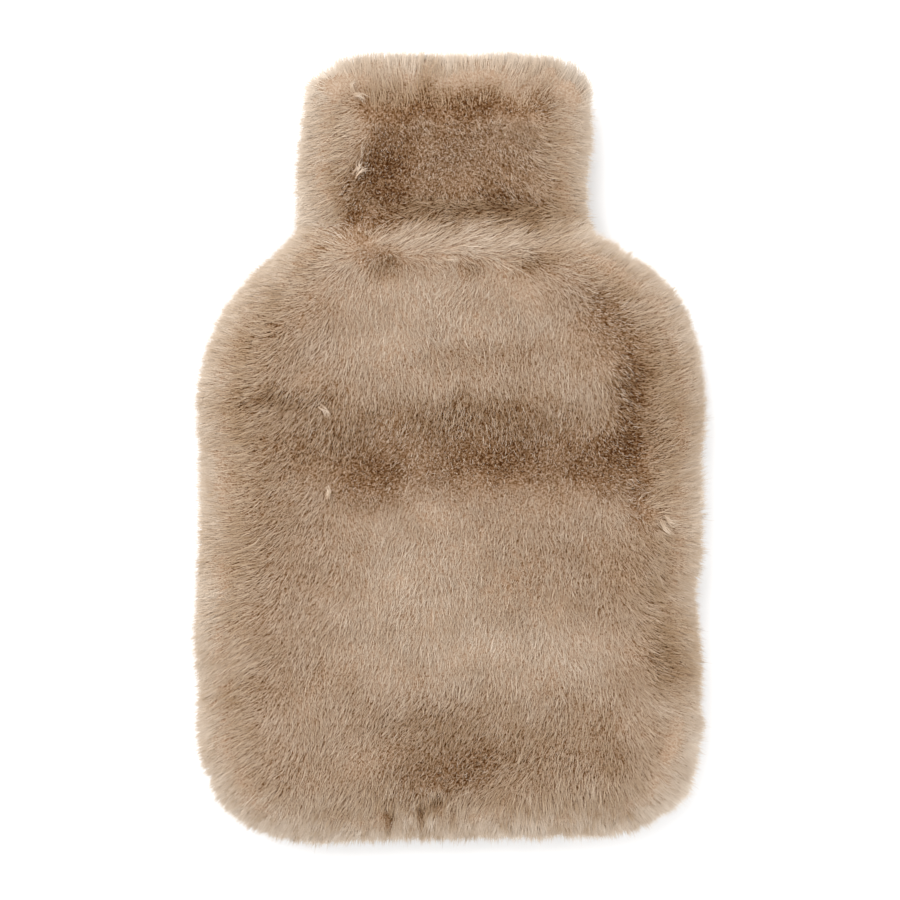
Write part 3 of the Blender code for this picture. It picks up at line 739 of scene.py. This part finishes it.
def mesh_of_spikes(name, places, faces):
    """One mesh from each spike's corners and the triangles that all spikes share."""
    count, corners_each = places.shape[:2]
    mesh = bpy.data.meshes.new(name)
    mesh.vertices.add(count * corners_each)
    mesh.vertices.foreach_set("co", places.astype(np.float32).ravel())
    corners = (np.arange(count)[:, None] * corners_each + faces.ravel()).ravel()
    mesh.loops.add(len(corners))
    mesh.loops.foreach_set("vertex_index", corners.astype(np.int32))
    mesh.polygons.add(count * len(faces))
    mesh.polygons.foreach_set("loop_start", np.arange(0, len(corners), 3, dtype=np.int32))
    mesh.polygons.foreach_set("loop_total", np.full(count * len(faces), 3, np.int32))
    mesh.polygons.foreach_set("use_smooth", np.ones(count * len(faces), bool))
    return mesh


# %% The chart and the shading of spikes
CHART_HALF = 0.004         # half a hair's width on the chart,
CHART_ROOT = 0.02          # and one corner of its root, so that the root has an area there
SKY_LIFT = 0.5             # how much the cover's own surface is turned up to the light,
SKY_FROM = -0.2            # unless it looks down more than this


def lay_on_chart(mesh, tones, rings, faces):
    """Each spike's place on the chart: its tone across, and up from root to tip."""
    across = np.array([-1, 0, 1] * rings + [0])[faces.ravel()]
    way_up = np.array([level / rings for level in range(rings) for _ in range(3)] + [1.0])
    way_up[1] = CHART_ROOT
    on_chart = np.stack([(tones[:, None] + across * CHART_HALF).ravel(),
                         np.tile(way_up[faces.ravel()], len(tones))], axis=1)
    layer = mesh.uv_layers.new(name="OFBake")
    layer.data.foreach_set("uv", on_chart.astype(np.float32).ravel())


def soft_normals(coat, rings, centres):
    """Normals between those of a round spike and those of the cover's own surface."""
    skin = unit(coat.normals + np.array([0.0, 0.0, SKY_LIFT]) * (coat.normals[:, 2:] > SKY_FROM))
    round_it = [unit(ring - centre[:, None]) for ring, centre in zip(rings, centres)]
    round_it = np.concatenate([*round_it, skin[:, None]], axis=1)
    softness = coat.softness[:, None, None]
    return unit(skin[:, None] * softness + round_it * (1 - softness))


def mesh_of_hairs(name, coat, width, rng, bent=False):
    """A spike for each hair, straight or bent in its middle, as one mesh."""
    radii = 0.5 * width * coat.widths
    turns = rng.uniform(0, 2 * math.pi, len(radii))
    centres = [coat.roots, coat.middles] if bent else [coat.roots]
    way = unit(coat.tips - coat.roots)
    rings = [rings_round(centre, way, radii * share, turns)
             for centre, share in zip(centres, RING_WIDTHS)]
    faces = spike_faces(len(rings))
    mesh = mesh_of_spikes(name, np.concatenate([*rings, coat.tips[:, None]], axis=1), faces)
    lay_on_chart(mesh, coat.tones, len(rings), faces)
    mesh.update()
    mesh.validate()
    mesh.normals_split_custom_set_from_vertices(soft_normals(coat, rings, centres).reshape(-1, 3))
    print(name, "has", len(radii), "hairs and", len(mesh.polygons), "triangles")
    return put_in_scene(name, mesh)


# %% [markdown]
# ## The coat
#
# The front has most of the hair. The back gets fewer and broader hairs, because the cover
# lies on it. A few long hairs, the guard hairs, rise out of the front's coat. A mesh stays
# under 200,000 triangles, so a coat is cut into bands from the neck down.

# %% Three coats
FRONT_HAIRS = 183000
GUARD_HAIRS = 3600
BACK_HAIRS = 46000
HAIR_WIDTH = 0.38 * MM
GUARD_WIDTH = 0.30 * MM
BACK_WIDTH = 0.50 * MM
GUARD_RUN = 24.0 * MM      # sideways reach of a guard hair where the nap lies flat,
GUARD_PALER = 0.14         # how much paler it is,
GUARD_BEND = 0.8 * MM      # and how far its middle is off a straight line
rng = np.random.default_rng(21)
front_coat = grow(scatter(front, FRONT_HAIRS, rng), seed=31)
guard_coat = grow(scatter(front, GUARD_HAIRS, rng), seed=35,
                  run=GUARD_RUN, paler=GUARD_PALER, bend=GUARD_BEND)
back_coat = grow(scatter(back, BACK_HAIRS, rng, density=BACK_DENSITY), seed=33)
print("mean tones, front, guard and back:",
      [round(float(coat.tones.mean()), 2) for coat in (front_coat, guard_coat, back_coat)])

# %% Bands of the coats
FRONT_BANDS = [("neck", 100), ("shoulder", 45), ("upper", -15), ("middle", -80), ("lower", -135),
               ("foot", -400)]
BACK_BANDS = [("upper", 10), ("lower", -400)]


def bands(coat, table):
    """The coat band by band, each down to the height in mm that its row gives."""
    above = np.inf
    for name, below in table:
        along = coat.points[:, 1]
        wanted = (along < above) & (along >= below * MM)
        yield name, Coat(*(values[wanted] for values in coat))
        above = below * MM


front_hair = [mesh_of_hairs(f"front_hair_{name}", coat, HAIR_WIDTH, rng)
              for name, coat in bands(front_coat, FRONT_BANDS)]
front_hair.append(mesh_of_hairs("front_hair_long", guard_coat, GUARD_WIDTH, rng, bent=True))

# %% [markdown]
# ### Tufts
#
# In a few places some pale hairs cling together and cross the nap. Each row is one of them:
# where it starts in mm, which way it points, how long it is and how far it bends aside.

# %% Pale tufts
Tuft = namedtuple("Tuft", "name across along toward long bend")
TUFTS = [
    Tuft("neck", -43, 125, 30, 8, 1.0),
    Tuft("neck, beside it", -44, 127, 62, 6, -1.0),
    Tuft("neck top, upwards", -45, 163, 66, 8, 1.5),
    Tuft("neck top, across", -45, 162, 345, 9, 0.8),
    Tuft("upper left", -59, 19, 315, 7, 0.8),
    Tuft("left", -56, -22, 80, 6, -0.5),
    Tuft("right", 98, -33, 300, 9, -1.5),
    Tuft("right, beside it", 100, -31, 312, 8, -1.5),
]
TUFT_HAIRS = 12
TUFT_ROOT = 0.9            # how near together its hairs start, 1 as they grow
TUFT_SINK = 1.5 * MM       # a tuft starts this far below the tips of the nap,
TUFT_RISE = 0.5 * MM       # and passes this far above them
TUFT_LENGTHS = (0.6, 1.0)  # its hairs have this share of its length,
TUFT_STRAY = 0.8 * MM      # and their tips stray this far
TUFT_TONE = 0.62           # it is this pale,
TUFT_TONES = 0.06          # and its hairs differ by this much


def tufts(coat, rng):
    """Long pale hairs, a few for each tuft, which start and end together."""
    parts = []
    for tuft in TUFTS:
        away = lengths(coat.points[:, :2] - np.array([tuft.across, tuft.along]) * MM)[:, 0]
        near = np.argsort(away)[:TUFT_HAIRS]
        points, normals = coat.points[near], coat.normals[near]
        angle = math.radians(tuft.toward)
        way = np.array([math.cos(angle), math.sin(angle), 0.0])
        aside = np.array([-way[1], way[0], 0.0])
        start = points.mean(axis=0)
        roots = start + TUFT_ROOT * (points - start) - TUFT_SINK * normals
        share = rng.uniform(*TUFT_LENGTHS, (TUFT_HAIRS, 1))
        tips = start + share * tuft.long * MM * way + TUFT_RISE * normals
        tips += TUFT_STRAY * rng.normal(0, 1, (TUFT_HAIRS, 3))
        middles = (roots + tips) / 2 + tuft.bend * MM * aside + 2 * TUFT_RISE * normals
        tones = rng.normal(TUFT_TONE, TUFT_TONES, TUFT_HAIRS)
        widths = rng.uniform(*WIDTH_RANGE, TUFT_HAIRS)
        parts.append(Coat(points, normals, roots, middles, tips, tones, widths, coat.softness[near]))
    return Coat(*(np.concatenate(values) for values in zip(*parts)))


front_hair.append(mesh_of_hairs("front_hair_tufts", tufts(front_coat, rng), GUARD_WIDTH, rng, bent=True))
back_hair = [mesh_of_hairs(f"back_hair_{name}", coat, BACK_WIDTH, rng)
             for name, coat in bands(back_coat, BACK_BANDS)]

# %% [markdown]
# ## Materials
#
# Shader maths is written as Python expressions. The small class wraps one socket, and each
# operator adds the node that works it out.

# %% Sockets that can be added and multiplied


class Value:
    def __init__(self, tree, socket):
        self.tree, self.socket = tree, socket

    def maths(self, operation, *others):
        return node(self.tree, "ShaderNodeMath", {"operation": operation},
                    dict(enumerate((self, *others))))

    def __add__(self, other):
        return self.maths("ADD", other)

    def __sub__(self, other):
        return self.maths("SUBTRACT", other)

    def __mul__(self, other):
        return self.maths("MULTIPLY", other)


def node(tree, kind, settings=None, sockets=None, output=0):
    """Adds a node of that kind: its settings first, then its sockets' values or links."""
    made = tree.nodes.new(kind)
    for name, value in (settings or {}).items():
        if name == "stops":
            ramp = made.color_ramp
            while len(ramp.elements) < len(value):
                ramp.elements.new(1.0)
            for element, (place, colour) in zip(ramp.elements, value):
                element.position, element.color = place, (*colour, 1.0)
        else:
            setattr(made, name, value)
    for name, value in (sockets or {}).items():
        if isinstance(value, Value):
            tree.links.new(value.socket, made.inputs[name])
        else:
            made.inputs[name].default_value = value
    return Value(tree, made.outputs[output])


def mixed(tree, share, low, high):
    """A colour between two, in the Mix node's colour sockets."""
    made = tree.nodes.new("ShaderNodeMix")
    made.data_type = "RGBA"
    for socket, value in zip((made.inputs[0], made.inputs[6], made.inputs[7]), (share, low, high)):
        if isinstance(value, Value):
            tree.links.new(value.socket, socket)
        else:
            socket.default_value = value
    return Value(tree, made.outputs[2])


def across_and_up(tree, vector):
    """The first two numbers of a vector, each as a value."""
    split = tree.nodes.new("ShaderNodeSeparateXYZ")
    tree.links.new(vector.socket, split.inputs[0])
    return Value(tree, split.outputs[0]), Value(tree, split.outputs[1])


def new_material(name, finish):
    """A material with its shader's fixed values set."""
    material = bpy.data.materials.new(name)
    material.use_nodes = True
    shader = material.node_tree.nodes["Principled BSDF"]
    for socket, value in finish.items():
        shader.inputs[socket].default_value = value
    return material, material.node_tree, shader


def linear(*screen):
    """A colour as a screen shows it, 0 to 255, in the shader's linear light."""
    return tuple(((c / 255 + 0.055) / 1.055) ** 2.4 if c > 10 else c / 255 / 12.92 for c in screen)


# %% [markdown]
# ### Hair
#
# The hair is taupe at its root and pale beige at its tip, and hairs differ a little. The
# chart in the UV map gives both: across it the tone, with the painted light and shade of each
# hair's place, up it the way to the tip.

# %% Hair material
# the darker stops serve mostly the painted shade of troughs, creases and partings, the palest the painted
# light of the rim
ROOTS = [(0.0, linear(87, 43, 8)), (0.25, linear(137, 106, 75)), (0.5, linear(168, 139, 112)),
         (1.0, linear(206, 185, 163))]
TIPS = [(0.0, linear(162, 127, 90)), (0.25, linear(185, 158, 127)), (0.5, linear(206, 186, 164)),
        (1.0, linear(241, 229, 214))]


def make_fur():
    material, tree, shader = new_material(
        "faux_fur", {"Metallic": 0.0, "Roughness": 0.62, "Specular IOR Level": 0.15,
                     "Sheen Weight": 0.05, "Sheen Roughness": 0.5})
    chart = node(tree, "ShaderNodeUVMap", {"uv_map": "OFBake"})
    tone, way_up = across_and_up(tree, chart)
    root = node(tree, "ShaderNodeValToRGB", {"stops": ROOTS}, {"Fac": tone})
    tip = node(tree, "ShaderNodeValToRGB", {"stops": TIPS}, {"Fac": tone})
    colour = mixed(tree, way_up, root, tip)
    tree.links.new(colour.socket, shader.inputs["Base Color"])
    return material


faux_fur = make_fur()

# %% [markdown]
# ### Underfur
#
# Between the hairs one sees their shaded lower parts. The underfur is painted the colour of
# that shade, broken up by a grain as fine as the hair, with a bump of the same grain. Painted
# shade makes it darker where the nap opens, and painted light a little paler at the rim, which
# an attribute on its points says, and where it is darker the grain is stronger.

# %% Underfur material
GRAIN = 1100.0             # how fine the grain is, per metre,
GRAIN_SHARE = 1.8          # how much it changes the darkest underfur,
GRAIN_FADE = 1.2           # and how much less it changes the palest
BLOTCH = 45.0              # how fine its slow blotches are, per metre,
BLOTCH_SHARE = 0.3         # and how much they change it
GRAIN_STRENGTH = 0.7       # how strong the bump is,
GRAIN_HEIGHT = 0.8 * MM    # and how high
# the underfur's colours, painted as the shade between the hairs
SHADED_DEPTHS = [(0.0, linear(58, 31, 9)), (0.25, linear(106, 76, 49)), (0.5, linear(147, 121, 98)),
        (1.0, linear(186, 166, 147))]


def make_underfur_finish():
    material, tree, shader = new_material(
        "felted_underfur", {"Metallic": 0.0, "Roughness": 0.9, "Specular IOR Level": 0.0})
    place = node(tree, "ShaderNodeTexCoord", output=3)
    grain = node(tree, "ShaderNodeTexNoise", {}, {"Vector": place, "Scale": GRAIN, "Detail": 2.0})
    blotch = node(tree, "ShaderNodeTexNoise", {}, {"Vector": place, "Scale": BLOTCH, "Detail": 2.0})
    shade = node(tree, "ShaderNodeAttribute", {"attribute_name": "shade"}, output=2)
    grained = (grain - 0.5) * (shade * -GRAIN_FADE + GRAIN_SHARE)
    share = shade + grained + (blotch - 0.5) * BLOTCH_SHARE
    colour = node(tree, "ShaderNodeValToRGB", {"stops": SHADED_DEPTHS}, {"Fac": share})
    tree.links.new(colour.socket, shader.inputs["Base Color"])
    bump = node(tree, "ShaderNodeBump", {},
                {"Height": grain, "Strength": GRAIN_STRENGTH, "Distance": GRAIN_HEIGHT})
    tree.links.new(bump.socket, shader.inputs["Normal"])
    return material


felted = make_underfur_finish()

# %% [markdown]
# ### Knitted cloth
#
# The backing is a fine machine knit. Its stitches are rows of small bumps, about 1.5 mm
# apart, drawn by two crossing waves in the object's own coordinates.

# %% Cloth material
STITCH = 1.5 * MM
FUZZ = 900.0               # how fine the fuzz on the yarn is, per metre,
FUZZ_SHARE = 0.4           # and how much it changes the colour
STITCH_SHARE = 0.25        # how much a stitch does
STITCH_STRENGTH = 0.5      # how strong the bump is,
STITCH_HEIGHT = 0.3 * MM   # and how high
YARN_DARK = (*linear(122, 97, 74), 1)
YARN_PALE = (*linear(160, 133, 107), 1)


def make_knit():
    material, tree, shader = new_material(
        "knitted_backing", {"Metallic": 0.0, "Roughness": 0.95, "Specular IOR Level": 0.1})
    place = node(tree, "ShaderNodeTexCoord", output=3)
    across, along = ((way * (2 * math.pi / STITCH)).maths("SINE") for way in across_and_up(tree, place))
    stitch = across * along
    fuzz = node(tree, "ShaderNodeTexNoise", {}, {"Vector": place, "Scale": FUZZ, "Detail": 2.0})
    height = stitch * 0.5 + fuzz
    share = (stitch + 1) * STITCH_SHARE + fuzz * FUZZ_SHARE
    colour = mixed(tree, share, YARN_DARK, YARN_PALE)
    tree.links.new(colour.socket, shader.inputs["Base Color"])
    bump = node(tree, "ShaderNodeBump", {},
                {"Height": height, "Strength": STITCH_STRENGTH, "Distance": STITCH_HEIGHT})
    tree.links.new(bump.socket, shader.inputs["Normal"])
    return material


knit = make_knit()

# %% Each piece and its finish
for cloth in (front_cloth, back_cloth):
    cloth.data.materials.append(knit)
for mass in (front_underfur, back_underfur):
    mass.data.materials.append(felted)
for hairs in (*front_hair, *back_hair):
    hairs.data.materials.append(faux_fur)
for finish in (faux_fur, felted, knit):
    print(finish.name, "has", len(finish.node_tree.nodes), "nodes and dresses", finish.users, "pieces")

# %% [markdown]
# ## What each piece stands for
# Every piece rides on the one rigid body, and the solids that the pieces stand for are
# hidden. The cloths are declared as sheets, with the size that they were cut to.

# %% Riding, and hiding the solids
front_pile = [*front_hair, front_underfur]
back_pile = [*back_hair, back_underfur]
for piece in (*front_pile, front_cloth):
    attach(piece, "root")
    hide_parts("front_panel", "rim_locks", "front_mouth_locks")
for piece in (*back_pile, back_cloth):
    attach(piece, "root")
    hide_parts("back_panel", "back_mouth_locks")
print(len(front_pile) + 1, "pieces on the front and", len(back_pile) + 1, "on the back")

# %% [markdown]
# ## Floor, light and camera
#
# The photograph is taken from straight above, on a white table in soft light that comes a
# little more from the upper left.

# %% Floor
FLOOR_SIZE = 6.0
FLOOR_WHITE = (0.92, 0.92, 0.92, 1)


def make_floor():
    bm = bmesh.new()
    bmesh.ops.create_grid(bm, x_segments=1, y_segments=1, size=FLOOR_SIZE / 2)
    mesh = bpy.data.meshes.new("floor")
    bm.to_mesh(mesh)
    bm.free()
    floor = put_in_scene("floor", mesh)
    material, _, _ = new_material(
        "white_table", {"Base Color": FLOOR_WHITE, "Roughness": 0.9, "Specular IOR Level": 0.0})
    mesh.materials.append(material)
    print("the floor is", FLOOR_SIZE, "m wide")


make_floor()

# %% Lights
Lamp = namedtuple("Lamp", "name place size power")
LAMPS = [
    Lamp("key_upper_left", (-0.7, 0.9, 2.1), 1.4, 40.0),
    Lamp("fill_right", (1.5, -0.3, 1.6), 1.6, 8.0),
]
for lamp in LAMPS:
    light = bpy.data.lights.new(lamp.name, "AREA")
    light.size, light.energy = lamp.size, lamp.power
    lit = put_in_scene(lamp.name, light)
    lit.location = lamp.place
    lit.rotation_euler = (-Vector(lamp.place)).to_track_quat("-Z", "Y").to_euler()
    print(lamp.name, "shines from", lamp.place, "in metres")
ROOM_LIGHT = 1.2
world = bpy.data.worlds.new("soft_room")
world.use_nodes = True
world.node_tree.nodes["Background"].inputs["Color"].default_value = (1, 1, 1, 1)
world.node_tree.nodes["Background"].inputs["Strength"].default_value = ROOM_LIGHT
bpy.context.scene.world = world
bpy.context.scene.view_settings.view_transform = "Standard"

# %% Camera
PIXELS = 900
PIXELS_PER_METRE = 2134.0  # of the photograph, at the height of the seam
PHOTO_MIDDLE_Y = 448.5     # the pixel row of the cover's middle in the photograph
LENS = 100.0               # in mm, like the sensor's width
SENSOR = 36.0
camera_data = bpy.data.cameras.new("camera")
camera_data.lens, camera_data.sensor_width = LENS, SENSOR
camera = put_in_scene("camera", camera_data)
distance = PIXELS / PIXELS_PER_METRE * LENS / SENSOR
camera.location = (0.0, (PHOTO_MIDDLE_Y - PIXELS / 2) / PIXELS_PER_METRE, SEAM_HEIGHT + distance)
bpy.context.scene.camera = camera
print("the camera is", round(distance, 2), "m above the seam")
